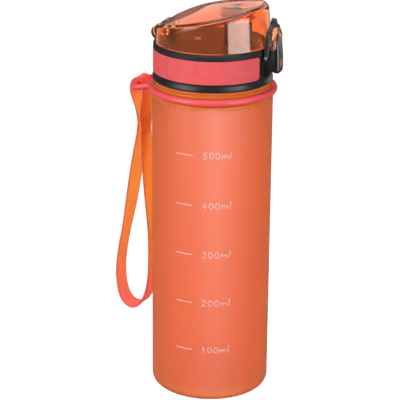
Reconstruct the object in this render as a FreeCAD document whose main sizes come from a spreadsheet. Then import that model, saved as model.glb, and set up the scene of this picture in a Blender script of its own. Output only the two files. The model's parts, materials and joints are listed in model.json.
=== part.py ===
"""Sports squeeze bottle with a screw lid, a flip cover, a safety bail and a wrist strap.

Millimetres, +Z up. The origin is on the bottle's axis at its base. The latch points
along +X, the cover's hinge is at -X and the XZ plane is the lid's plane of symmetry.
"""

import FreeCAD, Part
import math
import os
import re

DIMS = [
    # bottle
    ("body_radius", 34.5),
    ("body_wall", 1.8),
    ("base_thickness", 3.0),
    ("base_recess", 1.4),
    ("base_edge", 3.9),
    ("body_top", 180.3),
    ("groove_radius", 33.2),
    ("groove_top", 184.9),
    ("bead_radius", 34.3),
    ("bead_top", 186.1),
    ("bead_gap_radius", 33.3),
    ("bead_gap_top", 186.8),
    ("flange_radius", 33.9),
    ("flange_top", 188.1),
    ("neck_radius", 29.0),
    ("neck_bore", 26.4),
    ("mouth_top", 206.0),
    ("thread_pitch", 4.5),
    ("thread_turns", 2.0),
    ("thread_depth", 1.2),
    ("thread_start", 192.4),
    # ring with the strap's ear
    ("ring_z", 182.6),
    ("ring_inner", 33.5),
    ("ring_centre", 35.1),
    ("ring_thickness", 3.6),
    ("ear_reach", 45.0),
    ("ear_width", 22.0),
    ("ear_droop", 12.0),
    ("ear_bar", 3.3),
    ("ear_azimuth", 184.0),
    # strap
    ("strap_width", 12.0),
    ("strap_thickness", 1.5),
    ("strap_azimuth", 175.0),
    ("strap_offset", -4.0),
    # lid shell
    ("collar_radius", 33.8),
    ("collar_lip", 34.3),
    ("collar_bottom", 188.5),
    ("deck_top", 209.3),
    ("deck_bottom", 207.2),
    ("liner_outer", 31.6),
    ("liner_inner", 30.45),
    ("band_bottom", 192.8),
    ("band_top", 205.9),
    ("band_depth", 1.2),
    ("band_gap", 41.6),
    # spout
    ("spout_x", 14.7),
    ("spout_radius", 7.8),
    ("spout_bore", 4.6),
    ("spout_top", 222.6),
    ("vent_x", -9.0),
    # cover
    ("cover_radius", 33.2),
    ("cover_crown", 30.9),
    ("cover_wall", 1.8),
    ("cover_bottom", 209.7),
    ("slope_front", 231.8),
    ("slope_rear", 223.0),
    ("slope_rear_x", -15.0),
    ("crown_outer", 3.8),
    ("crown_inner", 0.8),
    ("dome_radius", 120.0),
    ("dome_rise", 4.0),
    ("hinge_x", -29.3),
    ("hinge_z", 213.6),
    ("hinge_lug", 4.0),
    ("hinge_ear", 4.3),
    ("hinge_half", 10.0),
    ("hinge_pin", 1.25),
    # latch
    ("pin_x", 34.6),
    ("pin_z", 204.8),
    ("pin_radius", 0.75),
    ("pin_half", 10.0),
    ("recess_floor", 32.1),
    ("cheek_inner", 5.2),
    ("cheek_outer", 7.8),
    ("arch_half", 7.8),
    ("arch_bar", 2.9),
    ("arch_spring", 212.5),
    ("arch_back", 36.35),
    ("arch_front", 38.66),
    ("button_half", 4.6),
    ("button_back", 37.2),
    ("button_front", 40.5),
    ("button_bottom", 194.7),
    ("button_top", 216.4),
    ("button_crown", 94.0),
    ("spring_z", 198.4),
    ("bail_inner", 8.25),
    ("bail_outer", 9.95),
    ("bail_depth", 2.4),
    ("bail_foot", 1.4),
    ("bail_window", 221.3),
    ("bail_lean", 3.5),
    ("running_gap", 0.05),
]

D = dict(DIMS)
UP = FreeCAD.Vector(0, 0, 1)
AXES = {
    "Z": FreeCAD.Rotation(),
    "X": FreeCAD.Rotation(FreeCAD.Vector(0, 1, 0), 90),
    "Y": FreeCAD.Rotation(FreeCAD.Vector(1, 0, 0), -90),
}
ALIAS = re.compile(r"\b(" + "|".join(name for name, _ in DIMS) + r")\b")

doc = FreeCAD.newDocument("SqueezeBottle")
subparts = []


# ---------------------------------------------------------------- small tools


def make_sheet():
    """The driving dimensions, one row each: a name, then its value with that alias."""
    sheet = doc.addObject("Spreadsheet::Sheet", "Dims")
    for row, (name, value) in enumerate(DIMS, start=1):
        sheet.set(f"A{row}", name)
        sheet.set(f"B{row}", str(value))
        sheet.setAlias(f"B{row}", name)
    doc.recompute()
    return sheet


def full(expression):
    """An expression with each alias written as the sheet's own cell."""
    return ALIAS.sub(r"Dims.\1", str(expression))


def bind(thing, sizes):
    """Bind properties of an object to expressions of the sheet."""
    for name, expression in sizes.items():
        thing.setExpression(name, full(expression))
    return thing


def put(thing, at=("0", "0", "0"), axis="Z"):
    """Place an object at a point given by three expressions, turned to an axis."""
    thing.Placement = FreeCAD.Placement(FreeCAD.Vector(), AXES[axis])
    for letter, expression in zip("xyz", at):
        thing.setExpression(f"Placement.Base.{letter}", full(expression))
    return thing


def cylinder(name, radius, height, at=("0", "0", "0"), axis="Z"):
    thing = doc.addObject("Part::Cylinder", name)
    bind(thing, {"Radius": radius, "Height": height})
    return put(thing, at, axis)


def pin_along_y(name, radius, half, x, z):
    """A cylinder along Y, centred on the XZ plane."""
    return cylinder(name, radius, f"2 * ({half})", (x, f"-({half})", z), "Y")


def cone(name, bottom, top, height, at=("0", "0", "0")):
    thing = doc.addObject("Part::Cone", name)
    bind(thing, {"Radius1": bottom, "Radius2": top, "Height": height})
    return put(thing, at)


def torus(name, centre, section, at=("0", "0", "0")):
    thing = doc.addObject("Part::Torus", name)
    bind(thing, {"Radius1": centre, "Radius2": section})
    return put(thing, at)


def box(name, low, high):
    """A box between two corners, each given by three expressions."""
    thing = doc.addObject("Part::Box", name)
    spans = [f"({b}) - ({a})" for a, b in zip(low, high)]
    bind(thing, dict(zip(("Length", "Width", "Height"), spans)))
    return put(thing, low)


def cut(name, base, *tools):
    for number, tool in enumerate(tools):
        last = number == len(tools) - 1
        step = doc.addObject("Part::Cut", name if last else f"{name}_step{number}")
        step.Base, step.Tool = base, tool
        base = step
    doc.recompute()
    return base


def fuse(name, *pieces, refine=True):
    thing = doc.addObject("Part::MultiFuse", name)
    thing.Shapes = list(pieces)
    thing.Refine = refine
    doc.recompute()
    return thing


def common(name, *pieces):
    thing = doc.addObject("Part::MultiCommon", name)
    thing.Shapes = list(pieces)
    doc.recompute()
    return thing


def rounded(name, base, picks, radius):
    """A fillet of one radius on the edges that picks(edge) accepts."""
    doc.recompute()
    chosen = [n for n, edge in enumerate(base.Shape.Edges, start=1) if picks(edge)]
    if not chosen:
        raise ValueError(f"{name}: no edge to round")
    thing = doc.addObject("Part::Fillet", name)
    thing.Base = base
    thing.Edges = [(n, radius, radius) for n in chosen]
    doc.recompute()
    return thing


def ring_edge(*places):
    """Picks full circles about the axis at (radius, z)."""

    def picks(edge):
        if not hasattr(edge.Curve, "Radius"):
            return False
        centre, radius = edge.Curve.Center, edge.Curve.Radius
        return any(
            abs(radius - r) < 0.02 and abs(centre.z - z) < 0.02 for r, z in places
        )

    return picks


def feature(name, shape):
    """A shape worked out here from the sheet's values."""
    thing = doc.addObject("Part::Feature", name)
    thing.Shape = shape
    thing.Placement = shape.Placement
    return thing


def node(thing, label):
    """A finished sub-part: its label is the name of its file."""
    doc.recompute()
    thing.Label = label
    subparts.append(thing)
    return thing


def plane_of(body, role):
    return next(p for p in body.Origin.OriginFeatures if p.Role == role)


def profile(body, name, points, role="XZ_Plane"):
    """A closed sketch of straight lines through points bound to the sheet."""
    sketch = body.newObject("Sketcher::SketchObject", name)
    sketch.AttachmentSupport = [(plane_of(body, role), "")]
    sketch.MapMode = "FlatFace"
    doc.recompute()
    spots = [
        FreeCAD.Vector(*(sheet.evalExpression(full(e)) for e in pair), 0)
        for pair in points
    ]
    for a, b in zip(spots, spots[1:] + spots[:1]):
        sketch.addGeometry(Part.LineSegment(a, b), False)
    import_constraints(sketch, points, spots)
    doc.recompute()
    return sketch


def import_constraints(sketch, points, spots):
    """Join the lines end to start and bind each corner's two coordinates."""
    from Sketcher import Constraint

    total = len(points)
    for line in range(total):
        sketch.addConstraint(Constraint("Coincident", line, 2, (line + 1) % total, 1))
    kinds = (("DistanceX", -2), ("DistanceY", -1))
    for line, (pair, spot) in enumerate(zip(points, spots)):
        for (kind, axis), expression, value in zip(kinds, pair, spot):
            if abs(value) < 1e-9:
                sketch.addConstraint(Constraint("PointOnObject", line, 1, axis))
                continue
            index = sketch.addConstraint(Constraint(kind, -1, 1, line, 1, value))
            sketch.setExpression(f"Constraints[{index}]", full(expression))


def revolved(label, points):
    """A PartDesign body: a closed outline of (radius, height) turned about Z."""
    body = doc.addObject("PartDesign::Body", label)
    sketch = profile(body, label + "_outline", points)
    turn = body.newObject("PartDesign::Revolution", label + "_turn")
    turn.Profile = sketch
    turn.ReferenceAxis = (sketch, ["V_Axis"])
    turn.Angle = 360
    doc.recompute()
    return body


def thread_ridge(radius, depth, start, outward):
    """A helical ridge of trapezoid section on a wall of that radius."""
    pitch, turns = D["thread_pitch"], D["thread_turns"]
    sign = 1 if outward else -1
    root = radius - sign * 0.3
    helix = Part.makeHelix(pitch, pitch * turns, radius)
    section = [
        (root, -1.05),
        (radius + sign * depth, -0.45),
        (radius + sign * depth, 0.45),
        (root, 1.05),
    ]
    corners = [FreeCAD.Vector(r, 0, z) for r, z in section]
    wire = Part.makePolygon(corners + corners[:1])
    ridge = Part.Wire(helix).makePipeShell([wire], True, True)
    ridge = Part.Solid(ridge) if ridge.ShapeType != "Solid" else ridge
    ridge.translate(FreeCAD.Vector(0, 0, start))
    return ridge


def arc_path(points):
    """Straight runs joined by tangent arcs, each as large as its two runs allow."""
    edges, radii, start = [], [], points[0]
    for before, corner, after in zip(points, points[1:], points[2:]):
        back, ahead = (before - corner), (after - corner)
        shorter = min(back.Length, ahead.Length)
        back.normalize()
        ahead.normalize()
        half_turn = (math.pi - back.getAngle(ahead)) / 2
        reach = 0.45 * shorter
        radii.append(reach / math.tan(half_turn))
        first, last = corner + back * reach, corner + ahead * reach
        inward = (back + ahead).normalize()
        middle = corner + inward * (
            radii[-1] / math.cos(half_turn) - radii[-1]
        )
        edges.append(Part.LineSegment(start, first).toShape())
        edges.append(Part.Arc(first, middle, last).toShape())
        start = last
    edges.append(Part.LineSegment(start, points[-1]).toShape())
    return Part.Wire(edges), radii


# ---------------------------------------------------------------- bottle


def make_bottle_body():
    """Hollow body: recessed base, straight wall, ring groove, two beads, threaded neck."""
    inner = "body_radius - body_wall"
    outline = [
        ("0", "base_recess"),
        ("body_radius * 0.72", "base_recess"),
        ("body_radius * 0.78", "0"),
        ("body_radius", "0"),
        ("body_radius", "body_top"),
        ("groove_radius", "body_top"),
        ("groove_radius", "groove_top"),
        ("bead_radius", "groove_top"),
        ("bead_radius", "bead_top"),
        ("bead_gap_radius", "bead_top"),
        ("bead_gap_radius", "bead_gap_top"),
        ("flange_radius", "bead_gap_top"),
        ("flange_radius", "flange_top"),
        ("neck_radius", "flange_top"),
        ("neck_radius", "mouth_top"),
        ("neck_bore", "mouth_top"),
        ("neck_bore", "flange_top + 1.5"),
        ("groove_radius - 2.2", "body_top - 1"),
        (inner, "body_top - 7"),
        (inner, "base_thickness + base_recess"),
        ("0", "base_thickness + base_recess"),
    ]
    turned = revolved("bottle_turned", outline)
    eased = rounded(
        "bottle_eased",
        turned,
        ring_edge((D["body_radius"], 0)),
        D["base_edge"],
    )
    eased = rounded(
        "bottle_shoulder",
        eased,
        ring_edge((D["body_radius"], D["body_top"])),
        1.1,
    )
    eased = rounded(
        "bottle_beads",
        eased,
        ring_edge(
            (D["bead_radius"], D["groove_top"]),
            (D["bead_radius"], D["bead_top"]),
            (D["flange_radius"], D["bead_gap_top"]),
            (D["flange_radius"], D["flange_top"]),
        ),
        0.45,
    )
    inner_edge = D["body_radius"] - D["body_wall"]
    eased = rounded(
        "bottle_inside",
        eased,
        ring_edge((inner_edge, D["base_thickness"] + D["base_recess"])),
        3.0,
    )
    ridge = feature(
        "neck_thread",
        thread_ridge(D["neck_radius"], D["thread_depth"], D["thread_start"], True),
    )
    node(fuse("bottle_with_thread", eased, ridge, refine=False), "bottle_body")


# ---------------------------------------------------------------- ring and strap


def ear_loop():
    """The ear: a round bar bent to a U in a plane that droops away from the ring."""
    root = D["ring_centre"] - 1.0
    reach = D["ear_reach"]
    half = D["ear_width"] / 2
    bend = half * 0.42
    corners = [
        FreeCAD.Vector(root, -half, 0),
        FreeCAD.Vector(reach, -half, 0),
        FreeCAD.Vector(reach, half, 0),
        FreeCAD.Vector(root, half, 0),
    ]
    first = FreeCAD.Vector(reach - bend, -half, 0)
    second = FreeCAD.Vector(reach, -half + bend, 0)
    third = FreeCAD.Vector(reach, half - bend, 0)
    fourth = FreeCAD.Vector(reach - bend, half, 0)
    knee = bend * (1 - math.sqrt(0.5))
    near = FreeCAD.Vector(reach - knee, -half + knee, 0)
    far = FreeCAD.Vector(reach - knee, half - knee, 0)
    path = Part.Wire(
        [
            Part.LineSegment(corners[0], first).toShape(),
            Part.Arc(first, near, second).toShape(),
            Part.LineSegment(second, third).toShape(),
            Part.Arc(third, far, fourth).toShape(),
            Part.LineSegment(fourth, corners[3]).toShape(),
        ]
    )
    section = Part.Wire(
        Part.Circle(corners[0], FreeCAD.Vector(1, 0, 0), D["ear_bar"] / 2).toShape()
    )
    bar = path.makePipeShell([section], True, False)
    lean = FreeCAD.Vector(0, 1, 0)
    bar.rotate(FreeCAD.Vector(D["ring_centre"], 0, 0), lean, D["ear_droop"])
    bar.rotate(FreeCAD.Vector(), UP, D["ear_azimuth"])
    bar.translate(FreeCAD.Vector(0, 0, D["ring_z"]))
    return bar


def make_neck_ring():
    """A soft ring in the bottle's groove, with the ear that carries the strap."""
    low = "ring_z - ring_thickness / 2"
    high = "ring_z + ring_thickness / 2"
    outer = "ring_centre + ring_thickness / 2"
    outline = [
        ("ring_inner", low),
        (outer, low),
        (outer, high),
        ("ring_inner", high),
    ]
    half = D["ring_thickness"] / 2
    rim = D["ring_centre"] + half
    hoop = rounded(
        "ring_hoop",
        revolved("ring_turned", outline),
        ring_edge((rim, D["ring_z"] - half), (rim, D["ring_z"] + half)),
        1.7,
    )
    ear = feature("ring_ear", ear_loop())
    node(fuse("ring_whole", hoop, ear, refine=False), "neck_ring")


def strap_points():
    """The strap's middle line in its own plane: distance from the axis, and height.

    It starts at the stitches, goes up over the ear's outer bar, down through the ear,
    along the bottle, round the hand loop and back up to the stitches.
    """
    return [
        (42.4, 157.8),
        (42.7, 165.0),
        (45.6, 170.8),
        (48.5, 176.4),
        (48.2, 182.2),
        (43.8, 185.0),
        (39.8, 182.0),
        (39.0, 174.0),
        (40.4, 164.0),
        (40.3, 144.0),
        (38.4, 122.0),
        (36.5, 98.0),
        (35.9, 76.0),
        (36.7, 57.0),
        (41.0, 43.6),
        (49.0, 38.6),
        (56.2, 44.6),
        (58.4, 60.0),
        (56.6, 76.0),
        (52.4, 95.0),
        (48.6, 117.0),
        (45.4, 138.0),
        (42.4, 157.4),
    ]


def make_carry_strap():
    """A flat strap: a ribbon of even thickness along its route, as wide as the strap."""
    points = [FreeCAD.Vector(s, 0, z) for s, z in strap_points()]
    path, radii = arc_path(points)
    thickness, width = D["strap_thickness"], D["strap_width"]
    section = Part.makePolygon(
        [
            FreeCAD.Vector(points[0].x + side * thickness / 2, end * width / 2, points[0].z)
            for side, end in ((-1, -1), (1, -1), (1, 1), (-1, 1), (-1, -1))
        ]
    )
    heading = (points[1] - points[0]).normalize()
    lean = math.degrees(math.atan2(heading.x, heading.z))
    section.rotate(points[0], FreeCAD.Vector(0, 1, 0), lean)
    ribbon = path.makePipeShell([section], True, False)
    print("strap length", round(path.Length, 2), "radii", [round(r, 1) for r in radii])
    print("strap volume", round(ribbon.Volume, 1), thickness * width * path.Length)
    ribbon.translate(FreeCAD.Vector(0, -D["strap_offset"], 0))
    ribbon.rotate(FreeCAD.Vector(), UP, D["strap_azimuth"])
    node(feature("strap_ribbon", ribbon), "carry_strap")


# ---------------------------------------------------------------- lid


def make_lid_liner():
    """The threaded sleeve inside the lid's shell."""
    outline = [
        ("liner_inner", "collar_bottom + 0.9"),
        ("liner_outer", "collar_bottom + 0.9"),
        ("liner_outer", "deck_bottom"),
        ("liner_inner", "deck_bottom"),
    ]
    sleeve = revolved("liner_sleeve", outline)
    start = D["thread_start"] - D["thread_pitch"] / 2
    ridge = feature(
        "liner_thread",
        thread_ridge(D["liner_inner"], D["thread_depth"], start, False),
    )
    node(fuse("liner_with_thread", sleeve, ridge, refine=False), "lid_liner")


def make_gasket():
    outline = [
        ("neck_bore - 0.4", "mouth_top + 0.2"),
        ("liner_inner - 0.1", "mouth_top + 0.2"),
        ("liner_inner - 0.1", "deck_bottom"),
        ("neck_bore - 0.4", "deck_bottom"),
    ]
    node(revolved("gasket_turned", outline), "lid_gasket")


def band_wedge(name):
    """The sector in front of the latch that the trim band leaves free."""
    block = box(name + "_block", ("0", "-30", "180"), ("60", "30", "215"))
    sides = []
    for side in (1, -1):
        trim = doc.addObject("Part::Box", f"{name}_side{side}")
        bind(trim, {"Length": "90", "Width": "60", "Height": "40"})
        angle = side * D["band_gap"] / 2
        shift = 0 if side > 0 else -60
        turn = FreeCAD.Rotation(UP, angle)
        corner = turn.multVec(FreeCAD.Vector(-20, shift, 0))
        trim.Placement = FreeCAD.Placement(corner + FreeCAD.Vector(0, 0, 178), turn)
        sides.append(trim)
    return cut(name, block, *sides)


def band_ring(name, low, high, depth_inner, depth_outer):
    """A C-shaped ring about the axis, open at the latch, its corners rounded."""
    outer = cylinder(name + "_outer", depth_outer, f"{high} - ({low})", ("0", "0", low))
    inner = cylinder(name + "_inner", depth_inner, "60", ("0", "0", "170"))
    ring = cut(name + "_square", outer, inner, band_wedge(name + "_gap"))

    def corner(edge):
        box_ = edge.BoundBox
        return box_.ZLength < 0.01 and box_.XMin > 20 and edge.Length < 20

    return rounded(name, ring, corner, 2.0)


def make_collar_band():
    ring = band_ring(
        "band_ring",
        "band_bottom + 0.02",
        "band_top - 0.02",
        "collar_radius - band_depth + 0.02",
        "collar_radius + 0.12",
    )
    node(ring, "collar_band")


def collar_shape():
    """Collar, deck and flared lower lip, with the groove for the trim band."""
    outline = [
        ("liner_outer", "collar_bottom"),
        ("collar_lip", "collar_bottom"),
        ("collar_lip", "collar_bottom + 0.8"),
        ("collar_radius", "collar_bottom + 3"),
        ("collar_radius", "deck_top - 1"),
        ("collar_radius - 0.9", "deck_top"),
        ("0", "deck_top"),
        ("0", "deck_bottom"),
        ("liner_outer", "deck_bottom"),
    ]
    turned = revolved("collar_turned", outline)
    groove = band_ring(
        "band_groove", "band_bottom", "band_top", "collar_radius - band_depth", "45"
    )
    return cut("collar_grooved", turned, groove)


def hinge_lugs():
    """Two lugs on the deck that hold the cover's pin, with the spring between them."""
    pieces = []
    for side, low, high in (("left", "-4.7", "-2.7"), ("right", "2.7", "4.7")):
        eye = cylinder(
            f"lug_eye_{side}",
            "hinge_lug",
            "2",
            ("hinge_x", low, "hinge_z"),
            "Y",
        )
        foot = box(
            f"lug_foot_{side}",
            ("hinge_x - 3.4", low, "deck_top - 0.5"),
            ("hinge_x + hinge_lug", high, "hinge_z"),
        )
        pieces += [eye, foot]
    return pieces


def prism(corners, along):
    """A straight-sided solid: the outline through the corners, drawn out along a vector."""
    face = Part.Face(Part.makePolygon(corners + corners[:1]))
    return face.extrude(along)


def cheek_plate(side):
    """A latch cheek: deep at the deck, tapered to a point low on the collar."""
    inner, outer = D["cheek_inner"], D["cheek_outer"]
    deck, pin, front = D["deck_top"], D["pin_z"], D["arch_front"] - 0.16
    seen_from_side = [
        (31.5, deck),
        (front, deck),
        (front, pin - 1.8),
        (front - 0.5, pin - 5.0),
        (front - 1.6, pin - 8.4),
        (front - 4.0, pin - 11.6),
        (31.5, pin - 12.6),
    ]
    seen_from_front = [
        (inner, deck),
        (outer, deck),
        (outer, pin - 1.9),
        (inner + 0.5, pin - 12.6),
        (inner, pin - 12.6),
    ]
    depth = prism(
        [FreeCAD.Vector(x, inner - 1, z) for x, z in seen_from_side],
        FreeCAD.Vector(0, outer - inner + 2, 0),
    )
    width = prism(
        [FreeCAD.Vector(31, y, z) for y, z in seen_from_front], FreeCAD.Vector(10, 0, 0)
    )
    plate = depth.common(width)
    if side < 0:
        plate = plate.mirror(FreeCAD.Vector(), FreeCAD.Vector(0, 1, 0))
    return feature(f"cheek_{'left' if side > 0 else 'right'}", plate)


def make_lid_shell():
    """The black screw lid: collar, deck, hinge lugs, latch cheeks and holes."""
    bridge = box(
        "latch_bridge",
        ("31.8", "-cheek_inner - 0.5", "deck_top - 2.1"),
        ("35.4", "cheek_inner + 0.5", "deck_top"),
    )
    body = fuse(
        "shell_whole", collar_shape(), *hinge_lugs(), cheek_plate(1), cheek_plate(-1), bridge
    )
    spout_hole = cylinder(
        "spout_hole", "spout_radius - 0.8", "10", ("spout_x", "0", "deck_bottom - 4")
    )
    vent_hole = cylinder("vent_hole", "1.2", "10", ("vent_x", "0", "deck_bottom - 4"))
    hinge_hole = pin_along_y("hinge_hole", "hinge_pin", "6", "hinge_x", "hinge_z")
    latch_hole = pin_along_y("latch_hole", "pin_radius", "8", "pin_x", "pin_z")
    inside = cylinder("shell_inside", "liner_outer", "30", ("0", "0", "deck_bottom - 30"))
    recess = box(
        "latch_recess",
        ("recess_floor", "-cheek_inner + 0.2", "button_bottom - 0.6"),
        ("45", "cheek_inner - 0.2", "deck_bottom"),
    )
    cleared = cut(
        "shell_cut",
        body,
        spout_hole,
        vent_hole,
        hinge_hole,
        latch_hole,
        recess,
        inside,
    )
    peg = cylinder(
        "spring_peg", "1.1", "1.6", ("recess_floor - 0.3", "0", "spring_z"), "X"
    )
    node(fuse("shell_pegged", cleared, peg), "lid_shell")


def make_spout():
    """A tube that stands on the deck, with a collar under it."""
    tube = cylinder(
        "spout_tube", "spout_radius", "spout_top - deck_top", ("spout_x", "0", "deck_top")
    )
    tube = rounded(
        "spout_eased",
        tube,
        lambda e: abs(e.BoundBox.ZMin - D["spout_top"]) < 0.01
        and e.BoundBox.ZLength < 0.01,
        1.2,
    )
    stem = cylinder(
        "spout_stem", "spout_radius - 0.85", "4", ("spout_x", "0", "deck_bottom - 1.9")
    )
    foot = cylinder(
        "spout_foot", "spout_radius + 1.6", "1.4", ("spout_x", "0", "deck_bottom - 1.4")
    )
    whole = fuse("spout_whole", tube, stem, foot)
    bore = cylinder("spout_hollow", "spout_bore", "40", ("spout_x", "0", "190"))
    node(cut("spout_cut", whole, bore), "drinking_spout")


def make_vent_valve():
    stem = cylinder("vent_stem", "1.15", "4.4", ("vent_x", "0", "deck_bottom - 1.5"))
    disc = cylinder("vent_disc", "3.2", "0.8", ("vent_x", "0", "deck_bottom - 0.8"))
    knob = cylinder("vent_knob", "1.9", "0.9", ("vent_x", "0", "deck_top"))
    node(fuse("vent_whole", stem, disc, knob), "vent_valve")


# ---------------------------------------------------------------- flip cover


def cover_solid(name, inset):
    """The cover's outer form, or its hollow when inset by the wall."""
    low, high = D["cover_bottom"], 240.0
    taper = (D["cover_radius"] - D["cover_crown"]) / (D["slope_front"] - low)
    top_radius = D["cover_radius"] - taper * (high - low) - inset
    start = low - (2 if inset else 0)
    base_radius = D["cover_radius"] + taper * (low - start) - inset
    form = Part.makeCone(base_radius, top_radius, high - start)
    form.rotate(FreeCAD.Vector(), UP, 180)
    form.translate(FreeCAD.Vector(0, 0, start))

    run = D["cover_crown"] - D["slope_rear_x"]
    slope = math.atan2(D["slope_front"] - D["slope_rear"], run)
    crown = FreeCAD.Vector(
        2.0, 0, D["slope_front"] - math.tan(slope) * (D["cover_crown"] - 2.0)
    )
    normal = FreeCAD.Vector(-math.sin(slope), 0, math.cos(slope))
    dome = Part.makeSphere(D["dome_radius"] - inset)
    dome.rotate(FreeCAD.Vector(), FreeCAD.Vector(0, 1, 0), 90)
    dome.translate(crown + normal * (D["dome_rise"] - D["dome_radius"]))
    form = form.common(dome)

    knee = FreeCAD.Vector(D["slope_rear_x"], 0, D["slope_rear"] + 1.2)
    foot = FreeCAD.Vector(D["hinge_x"], 0, D["hinge_z"] + D["hinge_ear"])
    back = (knee - foot).normalize()
    outward = FreeCAD.Vector(-back.z, 0, back.x)
    slab = Part.makeBox(120, 120, 60, FreeCAD.Vector(-60, -60, 0))
    lean = FreeCAD.Rotation(UP, outward)
    slab.Placement = FreeCAD.Placement(foot - outward * inset, lean)
    form = form.cut(slab)
    rear = Part.makeBox(
        40, 120, 80, FreeCAD.Vector(D["hinge_x"] + 1.3 + inset - 40, -60, 190)
    )
    form = form.cut(rear)
    rounding = D["crown_inner"] if inset else D["crown_outer"]
    form = form.makeFillet(rounding, crown_edges(form))
    return feature(name, form)


def crown_edges(form):
    """The rim between the cover's side wall and its slanted top."""
    return [
        edge
        for edge in form.Edges
        if edge.BoundBox.ZMin > D["cover_bottom"] + 4
        and edge.BoundBox.XMax > D["slope_rear_x"] + 1
        and edge.BoundBox.YLength > 10
        and edge.BoundBox.XLength > 20
    ]


def make_flip_cover():
    """A clear wedge-shaped cap with hinge ears, a plug boss and a latch catch."""
    outside = cover_solid("cover_outside", 0)
    hollow = cover_solid("cover_hollow", D["cover_wall"])
    boss_ring = cylinder(
        "cover_boss", "spout_radius + 2.6", "30", ("spout_x", "0", "spout_top + 2.2")
    )
    boss_hole = cylinder(
        "cover_boss_hole", "spout_radius + 1.4", "5.2", ("spout_x", "0", "spout_top + 1")
    )
    boss = common("cover_boss_trimmed", boss_ring, outside)
    shell = cut("cover_shell", outside, hollow)
    ears = [
        cylinder(
            f"cover_ear_{number}",
            "hinge_ear",
            "hinge_half - 5",
            ("hinge_x", low, "hinge_z"),
            "Y",
        )
        for number, low in enumerate(("5", "-hinge_half"))
    ]
    webs = [
        box(
            f"cover_web_{number}",
            ("hinge_x", low, "hinge_z - 3.6"),
            ("hinge_x + 5", high, "hinge_z + 3.9"),
        )
        for number, (low, high) in enumerate((("5", "hinge_half"), ("-hinge_half", "-5")))
    ]
    catch = box(
        "cover_catch",
        ("cover_radius - 1.2", "-3", "cover_bottom + 0.6"),
        ("arch_back - 0.35", "3", "cover_bottom + 3.2"),
    )
    whole = fuse("cover_whole", shell, boss, *ears, *webs, catch)
    lug_room = cylinder(
        "cover_lug_room", "hinge_lug + 0.7", "9.9", ("hinge_x", "-4.95", "hinge_z"), "Y"
    )
    pin_hole = pin_along_y(
        "cover_pin_hole", "hinge_pin + running_gap", "14", "hinge_x", "hinge_z"
    )
    foot_room = box(
        "cover_foot_room",
        ("hinge_x", "-4.95", "cover_bottom - 1"),
        ("hinge_x + hinge_lug + 0.7", "4.95", "hinge_z"),
    )
    node(cut("cover_cut", whole, boss_hole, lug_room, foot_room, pin_hole), "flip_cover")


def make_spout_seal():
    """A soft plug: a disc over the spout with a tapered nose in its bore."""
    disc = cylinder(
        "seal_disc",
        "spout_radius + 0.6",
        "1.9",
        ("spout_x", "0", "spout_top + 0.3"),
    )
    nose = cone(
        "seal_nose",
        "spout_bore - 1.6",
        "spout_bore - 0.7",
        "2.3",
        ("spout_x", "0", "spout_top - 1.9"),
    )
    stem = cylinder(
        "seal_stem", "2.4", "4.9", ("spout_x", "0", "spout_top + 1.3")
    )
    node(fuse("seal_whole", disc, nose, stem), "spout_seal")


def make_seal_retainer():
    """The ring that clips the plug into the cover's boss."""
    ring = cylinder(
        "retainer_ring",
        "spout_radius + 1.38",
        "2",
        ("spout_x", "0", "spout_top + 2.2"),
    )
    hole = cylinder(
        "retainer_hole", "2.4", "10", ("spout_x", "0", "spout_top")
    )
    node(cut("retainer_cut", ring, hole), "seal_retainer")


def make_hinge_pin():
    pin = pin_along_y(
        "hinge_rod", "hinge_pin", "hinge_half - 0.4", "hinge_x", "hinge_z"
    )
    node(pin, "hinge_pin")


def coil(radius, wire, pitch, turns):
    """A round-wire coil about Z, from z = 0."""
    helix = Part.makeHelix(pitch, pitch * turns, radius)
    start = FreeCAD.Vector(radius, 0, 0)
    section = Part.Wire(Part.Circle(start, FreeCAD.Vector(0, 1, 0), wire / 2).toShape())
    return Part.Wire(helix).makePipeShell([section], True, True)


def make_hinge_spring():
    """The torsion spring on the pin, wound along Y between the lugs."""
    wound = coil(1.95, 0.7, 0.85, 5)
    wound.rotate(FreeCAD.Vector(), FreeCAD.Vector(1, 0, 0), -90)
    wound.translate(FreeCAD.Vector(D["hinge_x"], -2.12, D["hinge_z"]))
    node(feature("hinge_coil", wound), "hinge_spring")


# ---------------------------------------------------------------- latch


def arch_face(half, foot, spring, x):
    """A round-topped arch in a plane across X."""
    left, right = FreeCAD.Vector(x, -half, foot), FreeCAD.Vector(x, half, foot)
    rise_left = FreeCAD.Vector(x, -half, spring)
    rise_right = FreeCAD.Vector(x, half, spring)
    top = FreeCAD.Vector(x, 0, spring + half)
    return Part.Face(
        Part.Wire(
            [
                Part.LineSegment(right, left).toShape(),
                Part.LineSegment(left, rise_left).toShape(),
                Part.Arc(rise_left, top, rise_right).toShape(),
                Part.LineSegment(rise_right, right).toShape(),
            ]
        )
    )


def make_latch_frame():
    """The clear arch that stands on the cheeks and frames the button's head."""
    back, depth = D["arch_back"], D["arch_front"] - D["arch_back"]
    half, bar = D["arch_half"], D["arch_bar"]
    foot = D["deck_top"] + 0.02
    along = FreeCAD.Vector(depth, 0, 0)
    outer = arch_face(half, foot, D["arch_spring"], back).extrude(along)
    inner = arch_face(half - bar, foot - 1, D["arch_spring"], back).extrude(along)
    frame = outer.cut(inner)
    rim = [
        edge
        for edge in frame.Edges
        if edge.BoundBox.XLength < 0.01
        and abs(edge.BoundBox.XMin - D["arch_front"]) < 0.01
        and edge.BoundBox.ZMax > D["arch_spring"] + half - bar / 2
        and hasattr(edge.Curve, "Radius")
    ]
    frame = frame.makeFillet(0.7, rim)
    node(feature("latch_arch", frame), "latch_frame")


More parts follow.
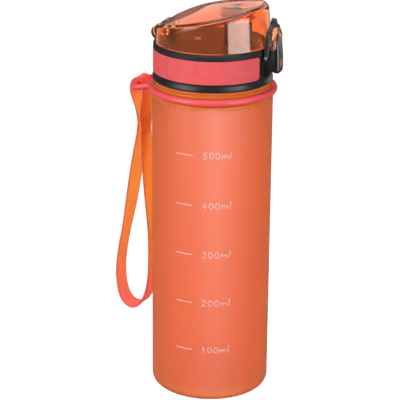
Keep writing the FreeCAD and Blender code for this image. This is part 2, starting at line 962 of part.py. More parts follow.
def make_release_button():
    """A rocking slab with an arched head, a bored lug on the pin and a hook."""
    half, foot = D["button_half"], D["button_bottom"]
    front, back = D["button_front"], D["button_back"]
    across = FreeCAD.Vector(0, 1, 0)
    slab = arch_face(half, foot, D["button_top"] - half, back).extrude(
        FreeCAD.Vector(front - back, 0, 0)
    )
    low_corners = [
        edge
        for edge in slab.Edges
        if edge.BoundBox.XLength > 1 and edge.BoundBox.ZMax < foot + 0.01
    ]
    slab = slab.makeFillet(2.6, low_corners)
    crown = Part.makeCylinder(
        D["button_crown"],
        20,
        FreeCAD.Vector(front - D["button_crown"], -10, foot + 4.3),
        across,
    )
    slab = slab.common(crown)
    rim = [
        edge
        for face in slab.Faces
        if isinstance(face.Surface, Part.Cylinder)
        and abs(face.Surface.Radius - D["button_crown"]) < 0.1
        for edge in face.Edges
    ]
    slab = slab.makeFillet(1.2, rim)
    eye = Part.makeCylinder(
        2.1, 2 * half, FreeCAD.Vector(D["pin_x"], -half, D["pin_z"]), across
    )
    lug = Part.makeBox(
        back + 0.4 - D["pin_x"],
        2 * half,
        4.2,
        FreeCAD.Vector(D["pin_x"], -half, D["pin_z"] - 2.1),
    )
    hook_half = D["arch_half"] - D["arch_bar"] - 0.7
    hook = Part.makeBox(
        back + 0.4 - D["arch_back"],
        2 * hook_half,
        3.0,
        FreeCAD.Vector(D["arch_back"], -hook_half, D["deck_top"] + 1.0),
    )
    bore = Part.makeCylinder(
        D["pin_radius"] + D["running_gap"],
        30,
        FreeCAD.Vector(D["pin_x"], -15, D["pin_z"]),
        across,
    )
    whole = slab.fuse([eye, lug, hook]).cut(bore).cut(badge_solid(0.6))
    node(feature("button_slab", whole.removeSplitter()), "release_button")


def badge_solid(depth):
    """The inlay's solid, sunk by that depth into the button's face."""
    middle = FreeCAD.Vector(D["button_front"] - depth, 0, D["button_bottom"] + 5.6)
    ellipse = Part.Ellipse(middle, 2.4, 2.3)
    face = Part.Face(Part.Wire(ellipse.toShape()))
    face.rotate(middle, FreeCAD.Vector(0, 1, 0), 90)
    return face.extrude(FreeCAD.Vector(depth - 0.12, 0, 0))


def make_button_badge():
    node(feature("badge_inlay", badge_solid(0.6)), "button_badge")


def make_button_spring():
    """The coil between the lid's recess and the button's back, along X."""
    length = D["button_back"] - D["recess_floor"]
    wound = coil(1.7, 0.55, (length - 0.6) / 5, 5)
    wound.rotate(FreeCAD.Vector(), FreeCAD.Vector(0, 1, 0), 90)
    wound.translate(FreeCAD.Vector(D["recess_floor"] + 0.3, 0, D["spring_z"]))
    node(feature("button_coil", wound), "button_spring")


def make_latch_pin():
    node(pin_along_y("latch_rod", "pin_radius", "pin_half", "pin_x", "pin_z"), "latch_pin")


def bail_outline(x):
    """Half of the bail's outer edge, from a foot up over the shoulder to the nub."""
    outer, pin = D["bail_outer"], D["pin_z"]
    shape = [
        (outer, 10.0),
        (outer - 0.10, 12.2),
        (outer - 0.75, 14.1),
        (outer - 2.4, 15.6),
        (outer - 4.7, 16.6),
        (outer - 6.6, 17.9),
        (outer - 7.8, 19.4),
        (outer - 8.9, 20.4),
        (0, 20.75),
    ]
    return [FreeCAD.Vector(x, y, pin + up) for y, up in shape]


def make_lock_bail():
    """A pointed loop on the latch pin that stands round the arch."""
    inner, outer = D["bail_inner"], D["bail_outer"]
    pin_x, pin, depth = D["pin_x"], D["pin_z"], D["bail_depth"]
    back = pin_x - depth / 2
    left = bail_outline(back)
    right = [FreeCAD.Vector(v.x, -v.y, v.z) for v in reversed(left)]
    bow = Part.BSplineCurve()
    bow.interpolate(left + right[1:])
    low_left = FreeCAD.Vector(back, outer, pin)
    low_right = FreeCAD.Vector(back, -outer, pin)
    outline = Part.Wire(
        [
            Part.LineSegment(low_left, left[0]).toShape(),
            bow.toShape(),
            Part.LineSegment(right[-1], low_right).toShape(),
            Part.LineSegment(low_right, low_left).toShape(),
        ]
    )
    along, across = FreeCAD.Vector(depth, 0, 0), FreeCAD.Vector(0, 1, 0)
    loop = Part.Face(outline).extrude(along)
    front_edge = [
        edge
        for edge in loop.Edges
        if edge.BoundBox.XMin > back + depth - 0.01 and edge.BoundBox.ZMin > pin + 5
    ]
    loop = loop.makeFillet(0.5, front_edge)
    foot_axis = FreeCAD.Vector(pin_x, -outer, pin)
    loop = loop.fuse(Part.makeCylinder(D["bail_foot"], 2 * outer, foot_axis, across))
    window = arch_face(inner, pin - 5, D["bail_window"] - inner, back - 2)
    loop = loop.cut(window.extrude(along * 3))
    loop.rotate(foot_axis, across, D["bail_lean"])
    bore = Part.makeCylinder(
        D["pin_radius"] + D["running_gap"], 2 * outer + 2, foot_axis - across, across
    )
    node(feature("bail_loop", loop.cut(bore)), "lock_bail")


# ---------------------------------------------------------------- build and write


def write_parts():
    """Check every object, then write one STEP file for each sub-part."""
    doc.recompute()
    failed = [
        o.Name for o in doc.Objects if {"Invalid", "Error"} & set(getattr(o, "State", []))
    ]
    if failed:
        raise RuntimeError(f"failed objects: {failed}")
    for thing in subparts:
        shape = thing.Shape
        if shape.isNull() or not shape.isValid():
            raise RuntimeError(f"{thing.Label} has a bad shape")
    os.makedirs("parts", exist_ok=True)
    for thing in subparts:
        thing.Shape.exportStep(os.path.join("parts", thing.Label + ".step"))
        print(thing.Label, len(thing.Shape.Solids), round(thing.Shape.Volume, 1))


sheet = make_sheet()
make_bottle_body()
make_neck_ring()
make_carry_strap()
make_lid_shell()
make_lid_liner()
make_collar_band()
make_gasket()
make_spout()
make_vent_valve()
make_flip_cover()
make_spout_seal()
make_seal_retainer()
make_hinge_pin()
make_hinge_spring()
make_latch_frame()
make_release_button()
make_button_badge()
make_button_spring()
make_latch_pin()
make_lock_bail()
write_parts()
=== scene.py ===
"""Looks for the sports squeeze bottle: materials, marks, inlay, woven strap, lights, camera."""

import json
import math

import bmesh
import bpy
from mathutils import Matrix, Vector


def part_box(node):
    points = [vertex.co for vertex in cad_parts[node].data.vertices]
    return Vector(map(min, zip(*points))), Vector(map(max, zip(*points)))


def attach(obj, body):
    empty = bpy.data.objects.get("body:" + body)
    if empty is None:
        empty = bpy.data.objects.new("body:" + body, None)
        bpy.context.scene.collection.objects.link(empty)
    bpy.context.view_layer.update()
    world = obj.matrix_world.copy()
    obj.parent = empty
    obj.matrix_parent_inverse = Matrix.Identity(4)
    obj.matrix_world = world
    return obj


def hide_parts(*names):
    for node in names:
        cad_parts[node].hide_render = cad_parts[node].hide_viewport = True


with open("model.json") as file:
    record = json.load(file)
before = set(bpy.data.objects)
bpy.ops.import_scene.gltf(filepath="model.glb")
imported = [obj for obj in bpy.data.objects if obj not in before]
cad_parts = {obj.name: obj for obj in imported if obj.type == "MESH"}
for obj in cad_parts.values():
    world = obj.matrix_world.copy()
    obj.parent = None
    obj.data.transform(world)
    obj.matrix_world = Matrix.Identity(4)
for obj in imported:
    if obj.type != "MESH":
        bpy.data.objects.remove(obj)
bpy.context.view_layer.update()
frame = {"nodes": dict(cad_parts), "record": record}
NODES = frame["nodes"]
MM = 0.001
VIEW_TURN = 20.0  # degrees the bottle stands turned from the picture plane


# ---------------------------------------------------------------- node helpers


def linear(r, g, b):
    """An 8-bit screen colour as a linear one."""
    out = []
    for value in (r, g, b):
        c = value / 255
        out.append(c / 12.92 if c <= 0.04045 else ((c + 0.055) / 1.055) ** 2.4)
    return (*out, 1.0)


class Mat:
    """A Principled material and short ways to add nodes to it."""

    def __init__(self, name, **sockets):
        self.material = bpy.data.materials.new(name)
        self.material.use_nodes = True
        self.tree = self.material.node_tree
        self.shader = next(n for n in self.tree.nodes if n.type == "BSDF_PRINCIPLED")
        for key, value in sockets.items():
            self.set(key.replace("_", " "), value)

    def set(self, name, value):
        for socket in self.shader.inputs:
            if socket.name.lower() == name.lower():
                socket.default_value = value
                return
        raise KeyError(name)

    def add(self, kind, inputs=None, **settings):
        node = self.tree.nodes.new(kind)
        for key, value in settings.items():
            setattr(node, key, value)
        for key, value in (inputs or {}).items():
            if isinstance(value, bpy.types.NodeSocket):
                self.tree.links.new(value, node.inputs[key])
            else:
                node.inputs[key].default_value = value
        return node

    def link(self, output, name):
        for socket in self.shader.inputs:
            if socket.name.lower() == name.lower():
                self.tree.links.new(output, socket)
                return
        raise KeyError(name)

    def place(self):
        """Position on the object, in metres."""
        return self.add("ShaderNodeTexCoord").outputs["Object"]

    def noise(self, scale, detail=2.0, roughness=0.5, vector=None):
        """Noise with about one blob every 1/scale metres."""
        inputs = {
            "Vector": vector or self.place(),
            "Scale": scale,
            "Detail": detail,
            "Roughness": roughness,
        }
        return self.add("ShaderNodeTexNoise", inputs).outputs["Fac"]

    def spread(self, value, low, high, start=0.3, end=0.7):
        """Maps start..end to low..high."""
        inputs = {
            "Value": value,
            "From Min": start,
            "From Max": end,
            "To Min": low,
            "To Max": high,
        }
        return self.add("ShaderNodeMapRange", inputs).outputs["Result"]

    def math(self, operation, a, b=0.0):
        return self.add("ShaderNodeMath", {0: a, 1: b}, operation=operation).outputs[0]

    def wave(self, value, length):
        """A sine wave over the value, with the given wavelength."""
        return self.math("SINE", self.math("MULTIPLY", value, 2 * math.pi / length))

    def mix(self, fac, a, b):
        node = self.add("ShaderNodeMix", data_type="RGBA")
        for index, value in ((0, fac), (6, a), (7, b)):
            if isinstance(value, bpy.types.NodeSocket):
                self.tree.links.new(value, node.inputs[index])
            else:
                node.inputs[index].default_value = value
        return node.outputs[2]

    def bump(self, height, distance, strength=1.0, normal=None):
        inputs = {"Height": height, "Distance": distance, "Strength": strength}
        if normal:
            inputs["Normal"] = normal
        return self.add("ShaderNodeBump", inputs).outputs["Normal"]


def wear(mat, base, worn, roughness, spread=0.05):
    """Slightly paler, rougher edges, uneven so that they look handled."""
    edge = mat.add("ShaderNodeNewGeometry").outputs["Pointiness"]
    mask = mat.spread(edge, 0.0, 1.0, 0.515, 0.56)
    mask = mat.math("MULTIPLY", mask, mat.noise(260.0, 3.0))
    mat.link(mat.mix(mask, base, worn), "Base Color")
    mottled = mat.spread(mat.noise(150.0, 4.0, 0.6), roughness - spread, roughness + spread)
    mat.link(mottled, "Roughness")


def black_plastic():
    mat = Mat("black_plastic", specular_ior_level=0.38)
    wear(mat, (0.010, 0.0105, 0.011, 1), (0.026, 0.027, 0.028, 1), 0.38)
    grain = mat.noise(5200.0, 2.0)
    mat.link(mat.bump(grain, 0.02 * MM, 0.35), "Normal")
    return mat.material


def coral_plastic():
    mat = Mat("coral_plastic", specular_ior_level=0.25)
    wear(mat, linear(233, 80, 83), linear(240, 108, 110), 0.46, 0.03)
    grain = mat.noise(3800.0, 2.0)
    mat.link(mat.bump(grain, 0.02 * MM, 0.25), "Normal")
    return mat.material


def coral_silicone():
    mat = Mat("coral_silicone", specular_ior_level=0.4)
    wear(mat, linear(244, 88, 92), linear(246, 112, 114), 0.36, 0.05)
    grain = mat.noise(2400.0, 3.0)
    mat.link(mat.bump(grain, 0.03 * MM, 0.3), "Normal")
    return mat.material


def clear_orange():
    """Polished tinted polycarbonate, with faint flow waves and hairline scuffs."""
    mat = Mat(
        "clear_orange",
        transmission_weight=0.97,
        ior=1.36,
        base_color=(0.97, 0.40, 0.20, 1),
    )
    waves = mat.noise(45.0, 1.0)
    scuffs = mat.noise(900.0, 5.0, 0.75)
    mat.link(mat.spread(scuffs, 0.015, 0.07), "Roughness")
    mat.link(mat.bump(waves, 0.1 * MM, 0.05), "Normal")
    return mat.material


def frosted_orange():
    """Tinted copolyester: a fine frost on the body, and a deeper, glossy neck above the ring."""
    mat = Mat(
        "frosted_orange",
        ior=1.4,
        specular_ior_level=0.15,
        coat_ior=1.8,
        coat_roughness=0.6,
    )
    height = mat.add("ShaderNodeSeparateXYZ", {0: mat.place()}).outputs["Z"]
    ring_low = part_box("neck_ring")[0].z
    neck = mat.spread(height, 0.0, 1.0, ring_low - 2 * MM, ring_low + 1 * MM)
    mat.link(mat.mix(neck, (0.93, 0.265, 0.025, 1), (0.82, 0.22, 0.04, 1)), "Base Color")
    mat.link(mat.spread(neck, 0.80, 0.25, 0.0, 1.0), "Transmission Weight")
    mat.link(mat.spread(neck, 1.0, 0.0, 0.0, 1.0), "Coat Weight")
    frost = mat.spread(mat.noise(700.0, 4.0, 0.6), 0.40, 0.50)
    rough = mat.add("ShaderNodeMix", data_type="FLOAT")
    mat.tree.links.new(neck, rough.inputs[0])
    mat.tree.links.new(frost, rough.inputs[2])
    rough.inputs[3].default_value = 0.12
    mat.link(rough.outputs[0], "Roughness")
    grain = mat.noise(3000.0, 2.0)
    mat.link(mat.bump(grain, 0.03 * MM, 0.3), "Normal")
    return mat.material


def brushed_steel():
    mat = Mat("brushed_steel", metallic=1.0, base_color=(0.62, 0.62, 0.61, 1))
    stretched = mat.add("ShaderNodeMapping", {"Vector": mat.place()})
    stretched.inputs["Scale"].default_value = (1.0, 0.06, 1.0)
    lines = mat.noise(4000.0, 3.0, 0.6, stretched.outputs[0])
    mat.link(mat.spread(lines, 0.2, 0.38), "Roughness")
    mat.link(mat.bump(lines, 0.01 * MM, 0.3), "Normal")
    return mat.material


def soft_clear():
    mat = Mat(
        "clear_silicone",
        transmission_weight=0.55,
        ior=1.41,
        base_color=(0.86, 0.84, 0.80, 1),
    )
    mat.link(mat.spread(mat.noise(500.0, 3.0), 0.35, 0.5), "Roughness")
    mat.link(mat.bump(mat.noise(2500.0), 0.02 * MM, 0.3), "Normal")
    return mat.material


def dark_silicone():
    mat = Mat("dark_silicone")
    wear(mat, linear(150, 84, 62), linear(190, 116, 84), 0.45)
    mat.link(mat.bump(mat.noise(2600.0), 0.02 * MM, 0.3), "Normal")
    return mat.material


def orange_inlay():
    mat = Mat("orange_inlay", coat_weight=0.6, coat_roughness=0.08)
    wear(mat, linear(206, 92, 50), linear(240, 140, 90), 0.25)
    mat.link(mat.bump(mat.noise(900.0), 0.05 * MM, 0.2), "Normal")
    return mat.material


def stitch_thread():
    mat = Mat("stitch_thread", sheen_weight=0.3)
    fuzz = mat.noise(6000.0, 2.0)
    mat.link(mat.mix(fuzz, linear(236, 92, 90), linear(250, 140, 136)), "Base Color")
    mat.link(mat.spread(fuzz, 0.5, 0.7), "Roughness")
    mat.link(mat.bump(fuzz, 0.05 * MM, 0.5), "Normal")
    return mat.material


def print_ink():
    mat = Mat("print_ink")
    patchy = mat.noise(2600.0, 3.0, 0.6)
    colour = mat.mix(mat.spread(patchy, 0.0, 1.0), linear(253, 208, 208), linear(255, 226, 224))
    mat.link(colour, "Base Color")
    mat.link(mat.spread(patchy, 0.45, 0.6), "Roughness")
    return mat.material


PAINT = {
    "frosted_orange": frosted_orange(),
    "coral_silicone": coral_silicone(),
    "black_plastic": black_plastic(),
    "coral_plastic": coral_plastic(),
    "clear_silicone": soft_clear(),
    "clear_orange": clear_orange(),
    "dark_silicone": dark_silicone(),
    "steel": brushed_steel(),
    "orange_inlay": orange_inlay(),
}


def paint_cad_nodes():
    for part in frame["record"]["subparts"]:
        material = PAINT.get(part["material_slot"])
        if material is None:
            continue
        node = NODES[part["node"]]
        node.data.materials.clear()
        node.data.materials.append(material)


# ---------------------------------------------------------------- the printed marks

WALL_RADIUS = 34.5
LINE_WIDTH = 0.44
FIGURE_WIDTH = 0.42
MARK_HEIGHTS = (32.86, 62.55, 92.35, 122.07, 151.85)
MARK_TURN = VIEW_TURN - 90.0
LINE_START, LINE_END, FIGURES_START = -35.3, -18.7, -8.0  # degrees round the wall
CAP_SIDES = 12
FIGURE_DROP = 1.5  # figures start this far below their line
INK_TOP = WALL_RADIUS + 0.045
INK_SHOULDER = INK_TOP - 0.03
INK_FOOT = WALL_RADIUS - 0.12
INK_PROFILE = (
    (-1, INK_FOOT),
    (-0.86, INK_SHOULDER),
    (-0.4, INK_TOP),
    (0.4, INK_TOP),
    (0.86, INK_SHOULDER),
    (1, INK_FOOT),
)


def arc(cx, cy, rx, ry, start, end, steps=14):
    points = []
    for i in range(steps + 1):
        a = math.radians(start + (end - start) * i / steps)
        points.append((cx + rx * math.cos(a), cy + ry * math.sin(a)))
    return points


GLYPHS = {
    "0": [arc(1.14, 1.72, 1.14, 1.72, 100, 460, 24)],
    "1": [[(0.55, 2.7), (1.2, 3.4), (1.2, 0.0)]],
    "2": [arc(1.08, 2.4, 1.0, 1.0, 165, -30, 12) + [(0.1, 0.0), (2.15, 0.0)]],
    "3": [arc(1.0, 2.55, 0.92, 0.85, 150, -90, 12) + arc(1.0, 0.85, 1.1, 0.85, 90, -150, 12)],
    "4": [[(1.5, 3.4), (0.0, 1.0), (2.3, 1.0)], [(1.6, 2.2), (1.6, 0.0)]],
    "5": [[(2.05, 3.45), (0.45, 3.45), (0.25, 1.9)] + arc(1.0, 1.08, 1.15, 1.08, 125, -150, 16)],
    "m": [
        [(0.0, 2.05), (0.0, -0.1)],
        arc(0.92, 1.2, 0.86, 0.75, 180, 0, 10) + [(1.78, 0.1)],
        arc(2.66, 1.1, 0.86, 0.7, 180, 0, 10) + [(3.52, 0.1)],
    ],
    "l": [[(0.0, 4.1), (0.0, 0.1)]],
}
FIGURE_STARTS = (-0.35, 3.25, 6.85, 10.35, 15.15)
SLANT = {"m": 0.12, "l": 0.2}


def on_wall(turn, height, radius):
    """A point by the wall: millimetres round it from the marks' zero, and millimetres up."""
    angle = math.radians(MARK_TURN) + turn / WALL_RADIUS
    return Vector((radius * math.cos(angle), radius * math.sin(angle), height)) * MM


def tube(bm, rings):
    """Joins each ring of vertices to the next."""
    for first, second in zip(rings, rings[1:]):
        count = len(first)
        for i in range(count):
            j = (i + 1) % count
            bm.faces.new((first[i], first[j], second[j], second[i]))


def stroke(bm, points, width):
    """A rounded raised line of ink along points given as (turn, height)."""
    half = width / 2
    rings = []
    count = len(points)
    for i, (x, z) in enumerate(points):
        ax, az = points[max(i - 1, 0)]
        bx, bz = points[min(i + 1, count - 1)]
        length = math.hypot(bx - ax, bz - az) or 1.0
        nx, nz = -(bz - az) / length, (bx - ax) / length
        ring = []
        for side, radius in INK_PROFILE:
            shift = half * side
            ring.append(bm.verts.new(on_wall(x + nx * shift, z + nz * shift, radius)))
        rings.append(ring)
    tube(bm, rings)
    bm.faces.new(rings[0])
    bm.faces.new(reversed(rings[-1]))
    for x, z in (points[0], points[-1]):
        cap(bm, x, z, half, INK_TOP - 0.01)


def cap(bm, x, z, half, radius):
    """A round end for a stroke."""
    middle = bm.verts.new(on_wall(x, z, radius))
    rim = []
    for i in range(CAP_SIDES):
        a = 2 * math.pi * i / CAP_SIDES
        across, up = half * math.cos(a), half * math.sin(a)
        rim.append(bm.verts.new(on_wall(x + across, z + up, radius - 0.02)))
    for i in range(CAP_SIDES):
        bm.faces.new((middle, rim[i], rim[(i + 1) % CAP_SIDES]))


def densified(points, step):
    """The same line with points no further apart than step, so that it bends with the wall."""
    out = [points[0]]
    for (ax, az), (bx, bz) in zip(points, points[1:]):
        parts = max(1, math.ceil(math.hypot(bx - ax, bz - az) / step))
        for i in range(1, parts + 1):
            out.append((ax + (bx - ax) * i / parts, az + (bz - az) * i / parts))
    return out


def make_marks():
    """The volume marks: a line and a figure for each 100 ml, as thin raised ink."""
    bm = bmesh.new()
    turns = (LINE_START, LINE_END, FIGURES_START)
    start, end, figures = (math.radians(a) * WALL_RADIUS for a in turns)
    for number, height in enumerate(MARK_HEIGHTS, start=1):
        stroke(bm, densified([(start, height), (end, height)], 0.8), LINE_WIDTH)
        for letter, shift in zip(f"{number}00ml", FIGURE_STARTS):
            slant = SLANT.get(letter, 0.0)
            for line in GLYPHS[letter]:
                left, foot = figures + shift, height - FIGURE_DROP
                points = [(left + x + slant * z, foot + z) for x, z in line]
                stroke(bm, densified(points, 0.4), FIGURE_WIDTH)
    bmesh.ops.recalc_face_normals(bm, faces=bm.faces)
    piece = new_piece("volume_marks", bm, print_ink())
    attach(piece, "bottle")


def new_piece(name, bm, material):
    mesh = bpy.data.meshes.new(name)
    bm.to_mesh(mesh)
    bm.free()
    piece = bpy.data.objects.new(name, mesh)
    bpy.context.scene.collection.objects.link(piece)
    mesh.materials.append(material)
    mesh.shade_smooth()
    return piece


# Rings of the inlay's dome: share of its oval, and millimetres proud of the button.
BADGE_DOME = ((1.0, -0.4), (1.0, 0.03), (0.94, 0.10), (0.7, 0.15), (0.35, 0.17))
BADGE_SIDES = 40


def make_badge():
    """The inlay's polished face: a low oval dome that stands just proud of the button."""
    low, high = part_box("button_badge")
    middle, half = (low + high) / 2, (high - low) / 2
    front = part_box("release_button")[1].x
    bm = bmesh.new()
    rings = []
    for size, rise in BADGE_DOME:
        ring = []
        for k in range(BADGE_SIDES):
            a = 2 * math.pi * k / BADGE_SIDES
            y = middle.y + half.y * size * math.cos(a)
            z = middle.z + half.z * size * math.sin(a)
            ring.append(bm.verts.new((front + rise * MM, y, z)))
        rings.append(ring)
    tube(bm, rings)
    bm.faces.new(rings[0])
    bm.faces.new(rings[-1])
    bmesh.ops.recalc_face_normals(bm, faces=bm.faces)
    piece = new_piece("badge_face", bm, PAINT["orange_inlay"])
    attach(piece, "button")
    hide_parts("button_badge")


# ---------------------------------------------------------------- the carry strap

STRAP_WIDTH = 12.0
STRAP_THICKNESS = 1.5
STRAP_AZIMUTH = 175.0
STRAP_OFFSET = -4.0
# The loop's control points: millimetres from the bottle's axis, and millimetres up. It starts and
# ends where the strap is stitched, and passes over the ear's bar at 44.7, 180.5.
STRAP_ROUTE = [
    (42.4, 157.8),
    (42.7, 165.0),
    (45.4, 170.8),
    (47.6, 176.0),
    (47.3, 181.7),
    (43.8, 184.5),
    (39.8, 182.0),
    (39.0, 174.0),
    (40.4, 164.0),
    (40.3, 144.0),
    (38.4, 122.0),
    (36.5, 98.0),
    (35.9, 76.0),
    (36.7, 57.0),
    (41.0, 43.6),
    (49.0, 38.6),
    (56.2, 44.6),
    (58.4, 60.0),
    (56.6, 76.0),
    (52.4, 95.0),
    (48.6, 117.0),
    (45.4, 138.0),
    (42.4, 157.4),
]


def strap_place(s, lateral, z):
    """A point of the strap from its own plane: distance from the axis, sideways, height."""
    turn = Matrix.Rotation(math.radians(STRAP_AZIMUTH), 3, "Z")
    return turn @ Vector((s, lateral - STRAP_OFFSET, z)) * MM


def strap_line():
    """Points along the smooth route, read from its NURBS spline."""
    curve = bpy.data.curves.new("strap_route", "CURVE")
    curve.dimensions = "3D"
    curve.resolution_u = 24
    spline = curve.splines.new("NURBS")
    spline.points.add(len(STRAP_ROUTE) - 1)
    for point, (s, z) in zip(spline.points, STRAP_ROUTE):
        point.co = (*strap_place(s, 0, z), 1)
    spline.order_u = 3
    spline.use_endpoint_u = True
    holder = bpy.data.objects.new("strap_route", curve)
    mesh = bpy.data.meshes.new_from_object(holder)
    points = [v.co.copy() for v in mesh.vertices]
    bpy.data.meshes.remove(mesh)
    bpy.data.objects.remove(holder)
    bpy.data.curves.remove(curve)
    return points


def strap_turn(z):
    """Degrees the webbing is twisted about the vertical: below the ear, and half way down."""
    bulge_low, bulge_high = 0.090, 0.150
    if z > bulge_high:
        return 1.0 - 10.0 * max(0.0, 1.0 - abs(z - 0.1655) / 0.014)
    if z > bulge_low:
        return -11.0 * math.sin(math.pi * (z - bulge_low) / (bulge_high - bulge_low))
    return 0.0


def strap_twist(z):
    return Matrix.Rotation(math.radians(strap_turn(z)), 3, "Z")


def strap_directions():
    """Away from the bottle, and along the ear's bar."""
    start = strap_place(0, 0, 0)
    outward = (strap_place(1, 0, 0) - start).normalized()
    lateral = (strap_place(0, 1, 0) - start).normalized()
    return outward, lateral


def section():
    """Upper half of the webbing's outline, (across, up), with a rolled selvedge at each edge."""
    half, thick = STRAP_WIDTH / 2, STRAP_THICKNESS / 2
    selvedge, rounding, steps = 0.20, 0.55, 18
    top = []
    for i in range(steps + 1):
        u = -1 + 2 * i / steps
        edge = max(0.0, abs(u) - (1 - selvedge)) / selvedge
        height = thick * (0.78 + 0.22 * math.sin(min(edge, 1.0) * math.pi))
        if edge > rounding:
            height *= math.sqrt(max(0.0, 1 - ((edge - rounding) / (1 - rounding)) ** 2))
        top.append((u * half, max(height, 0.04)))
    return top


def strap_material():
    """Twill webbing: orange body, coral selvedge, diagonal ribs, fibres, satin sheen, and painted
    light: the loop's foot and its fold over the ear are painted coral, the colour the face shows
    when it is lit from the front.
    """
    mat = Mat(
        "strap_web",
        sheen_weight=0.3,
        sheen_roughness=0.4,
        transmission_weight=0.92,
        specular_ior_level=0.1,
    )
    uv = mat.add("ShaderNodeUVMap", uv_map="UVMap").outputs[0]
    parts = mat.add("ShaderNodeSeparateXYZ", {0: uv})
    across, along = parts.outputs["X"], parts.outputs["Y"]
    diagonal = mat.math("ADD", along, mat.math("MULTIPLY", across, 0.85))
    rib = mat.wave(diagonal, 0.72)
    yarn = mat.wave(along, 0.36)
    fibre = mat.noise(2.4, 3.0, 0.6, uv)
    edge = mat.math("ABSOLUTE", across)
    selvedge = mat.spread(edge, 0.0, 1.0, 5.45, 5.6)
    weave = mat.math("ADD", mat.math("MULTIPLY", rib, 0.5), mat.math("MULTIPLY", yarn, 0.18))
    shade = mat.spread(weave, 0.0, 1.0, -0.6, 0.6)
    body = mat.mix(shade, linear(255, 150, 60), linear(255, 184, 72))
    body = mat.mix(mat.spread(fibre, 0.0, 0.35), body, linear(255, 156, 86))
    # Painted light: coral is painted by height over the loop's foot and over its fold across the
    # ear, standing in for the webbing's front-lit face.
    height = mat.add("ShaderNodeSeparateXYZ", {0: mat.place()}).outputs["Z"]
    foot = mat.spread(height, 0.85, 0.0, 0.040, 0.085)
    painted_lit_fold = mat.spread(height, 0.0, 0.9, 0.168, 0.180)
    body = mat.mix(mat.math("ADD", foot, painted_lit_fold), body, linear(255, 112, 108))
    rolled = mat.spread(mat.wave(along, 0.55), 0.0, 1.0, -1, 1)
    border = mat.mix(rolled, linear(226, 74, 74), linear(244, 132, 138))
    mat.link(mat.mix(selvedge, body, border), "Base Color")
    mat.link(mat.spread(fibre, 0.5, 0.72), "Roughness")
    height = mat.math("ADD", weave, mat.math("MULTIPLY", fibre, 0.5))
    mat.link(mat.bump(height, 0.12 * MM, 0.6), "Normal")
    return mat.material


def make_strap():
    """The webbing swept along its route, as one closed ribbon that stands for the CAD's strap."""
    line = strap_line()
    lateral = strap_directions()[1]
    outline = section()
    loop = [(x, h) for x, h in outline] + [(x, -h) for x, h in reversed(outline)]
    bm = bmesh.new()
    uv_layer = bm.loops.layers.uv.new("UVMap")
    rings, distances, travelled = [], [], 0.0
    for i, point in enumerate(line):
        before, after = line[max(i - 1, 0)], line[min(i + 1, len(line) - 1)]
        heading = (after - before).normalized()
        up = (strap_twist(point.z) @ lateral).cross(heading).normalized()
        sideways = heading.cross(up)
        if i:
            travelled += (point - line[i - 1]).length / MM
        distances.append(travelled)
        rings.append([bm.verts.new(point + (sideways * x + up * h) * MM) for x, h in loop])
    count = len(loop)
    for k, (first, second) in enumerate(zip(rings, rings[1:])):
        for i in range(count):
            j = (i + 1) % count
            face = bm.faces.new((first[i], first[j], second[j], second[i]))
            places = ((i, k), (j, k), (j, k + 1), (i, k + 1))
            for corner, (a, b) in zip(face.loops, places):
                corner[uv_layer].uv = (loop[a][0], distances[b])
    bm.faces.new(reversed(rings[0]))
    bm.faces.new(rings[-1])
    bmesh.ops.recalc_face_normals(bm, faces=bm.faces)
    piece = new_piece("strap_webbing", bm, strap_material())
    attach(piece, "strap")
    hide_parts("carry_strap")
    make_stitches(line)


THREAD_RADIUS = 0.17
STITCH_STEP = 1.1
BOX_WIDTH = 8.8
BOX_HEIGHTS = (150.5, 160.5)


def thread(bm, start, end):
    """One stitch: a short six-sided thread with sunk, tapered ends."""
    along = (end - start).normalized()
    side = along.cross(Vector((0.3, 0.2, 0.93))).normalized()
    lift = along.cross(side)
    rings = []
    for t, size in ((0.0, 0.35), (0.2, 1.0), (0.8, 1.0), (1.0, 0.35)):
        centre = start.lerp(end, t)
        ring = []
        for k in range(6):
            a = math.pi * k / 3
            spoke = side * math.cos(a) + lift * math.sin(a)
            ring.append(bm.verts.new(centre + spoke * THREAD_RADIUS * MM * size))
        rings.append(ring)
    tube(bm, rings)
    bm.faces.new(rings[0])
    bm.faces.new(reversed(rings[-1]))


def make_stitches(line):
    """The box of stitches that joins the strap's end to the strand beside it."""
    middle = strap_place(40.2, 0, 0)
    strand = [p for p in line if (p - middle - Vector((0, 0, p.z))).length < 1.2 * MM]
    outward, lateral = strap_directions()

    def on_strand(across, z):
        near = min(strand, key=lambda p: abs(p.z - z * MM))
        twist = strap_twist(near.z)
        face = twist @ outward * (-0.5 * STRAP_THICKNESS - 0.02)
        return Vector((near.x, near.y, z * MM)) + (face + twist @ lateral * across) * MM

    bm = bmesh.new()
    low, high = BOX_HEIGHTS
    half, step, start, end = BOX_WIDTH / 2, STITCH_STEP, 0.15, 0.95
    for k in range(8):
        across = -half + k * step
        for z in (low, high):
            thread(bm, on_strand(across + start, z), on_strand(across + end, z))
    rows = 9
    for k in range(rows):
        z = low + k * step
        for across in (-half, half):
            thread(bm, on_strand(across, z + start), on_strand(across, z + end))
        shift = -half + k * BOX_WIDTH / rows
        for sign in (-1, 1):
            first = on_strand(sign * (shift + 0.1), z + 0.1)
            last = on_strand(sign * (shift + 0.8), z + 0.9)
            thread(bm, first, last)
    bmesh.ops.recalc_face_normals(bm, faces=bm.faces)
    piece = new_piece("strap_stitches", bm, stitch_thread())
    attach(piece, "strap")


# ---------------------------------------------------------------- stage


def seen_white(tree, hidden):
    """1 for rays that come straight from the camera or have passed through plastic, else hidden."""
    path = tree.nodes.new("ShaderNodeLightPath")
    either = tree.nodes.new("ShaderNodeMath")
    either.operation = "MAXIMUM"
    tree.links.new(path.outputs["Is Camera Ray"], either.inputs[0])
    tree.links.new(path.outputs["Transmission Depth"], either.inputs[1])
    level = tree.nodes.new("ShaderNodeMapRange")
    tree.links.new(either.outputs[0], level.inputs["Value"])
    level.inputs["To Min"].default_value = hidden
    level.inputs["To Max"].default_value = 1.0
    return level.outputs["Result"]


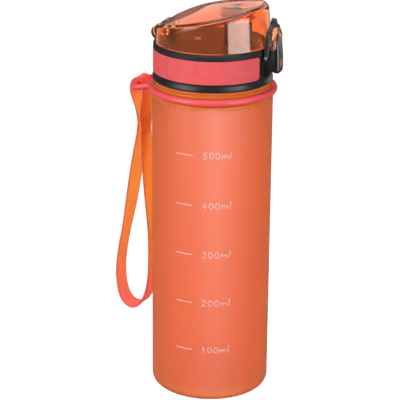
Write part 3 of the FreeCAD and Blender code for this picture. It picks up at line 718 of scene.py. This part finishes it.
def make_floor():
    """A white sweep that lights the bottle less than it shows, as flagged studio paper does."""
    bm = bmesh.new()
    bmesh.ops.create_circle(bm, cap_ends=True, segments=64, radius=6.0)
    mat = Mat("floor", base_color=(0.13, 0.13, 0.13, 1), roughness=0.8, specular_ior_level=0.0)
    mat.link(mat.bump(mat.noise(60.0), 0.1 * MM, 0.1), "Normal")
    mat.set("Emission Color", (1, 1, 1, 1))
    mat.link(seen_white(mat.tree, 0.08), "Emission Strength")
    floor = new_piece("floor", bm, mat.material)
    floor.location.z = -0.0002


def make_world():
    world = bpy.data.worlds.new("studio")
    bpy.context.scene.world = world
    world.use_nodes = True
    background = next(n for n in world.node_tree.nodes if n.type == "BACKGROUND")
    background.inputs["Color"].default_value = (1, 1, 1, 1)
    world.node_tree.links.new(seen_white(world.node_tree, 0.04), background.inputs["Strength"])
    bpy.context.scene.view_settings.view_transform = "Standard"


def softbox(name, place, target, size, power, height=None):
    """A rectangular light at a place, facing the target. Sizes are in metres, power in watts."""
    light = bpy.data.lights.new(name, "AREA")
    light.energy = power
    light.shape = "RECTANGLE"
    light.size = size
    light.size_y = height or size
    holder = bpy.data.objects.new(name, light)
    bpy.context.scene.collection.objects.link(holder)
    holder.location = place
    holder.rotation_mode = "QUATERNION"
    holder.rotation_quaternion = (Vector(place) - Vector(target)).to_track_quat("Z", "Y")
    return holder


def only_for(light, *names):
    """Keeps a light off everything but the named pieces, as a flag does."""
    lit = bpy.data.collections.new(light.name + "_lights")
    for name in names:
        lit.objects.link(NODES[name])
    light.light_linking.receiver_collection = lit


def around(azimuth, distance, height):
    """A place round the bottle: azimuth counted to the right from the camera's side."""
    angle = math.radians(azimuth - 90 + VIEW_TURN)
    return Vector((distance * math.cos(angle), distance * math.sin(angle), height))


def make_lights():
    """Two keys and a top light for all, then small ones that each serve a few pieces."""
    middle = (0, 0, 0.12)
    lid = (0, 0, 0.2)
    softbox("key_left", around(-54, 1.1, 0.5), middle, 0.7, 11.0)
    softbox("key_right", around(46, 1.2, 0.5), middle, 0.7, 10.5)
    card = softbox("low_card", around(4, 0.8, 0.02), (0, 0, 0.09), 0.5, 6.5, 0.3)
    only_for(card, "bottle_body")
    card.visible_diffuse = False
    card.visible_transmission = False
    strip = softbox("strip", around(50.5, 0.30, 0.155), (0, 0, 0.155), 0.2485, 1.65, 0.19)
    only_for(strip, "flip_cover", "latch_frame", "release_button", "lock_bail")
    strip.visible_diffuse = False
    softbox("top", (0, 0.1, 0.95), middle, 0.8, 5.0)
    back = softbox("back", around(172, 1.1, 0.65), lid, 1.2, 2.2, 0.7)
    only_for(back, "flip_cover", "latch_frame")
    rim = softbox("rim", around(138, 1.0, 0.32), lid, 0.6, 2.0)
    only_for(rim, "release_button", "lock_bail", "lid_shell")
    for light in (back, rim):
        light.visible_camera = False
        light.visible_transmission = False


def make_camera():
    """The photograph's view: a long lens, a little above, with the latch to the right."""
    pitch, roll = math.radians(20.186), math.radians(-0.4555)
    place = Vector((-6.64, -899.9, 444.3))
    camera = bpy.data.cameras.new("camera")
    camera.lens = 147.82
    camera.sensor_width = 36.0
    camera.clip_start, camera.clip_end = 0.01, 50
    holder = bpy.data.objects.new("camera", camera)
    bpy.context.scene.collection.objects.link(holder)
    bpy.context.scene.camera = holder
    turn = Matrix.Rotation(math.radians(VIEW_TURN), 3, "Z")
    ahead = turn @ Vector((0, math.cos(pitch), -math.sin(pitch)))
    right = turn @ Vector((1, 0, 0))
    up = right.cross(ahead)
    across = right * math.cos(roll) - up * math.sin(roll)
    rise = right * math.sin(roll) + up * math.cos(roll)
    pose = Matrix((across, rise, -ahead)).transposed().to_4x4()
    pose.translation = turn @ place * MM
    holder.matrix_world = pose


make_camera()
paint_cad_nodes()
make_marks()
make_badge()
make_strap()
make_floor()
make_world()
make_lights()
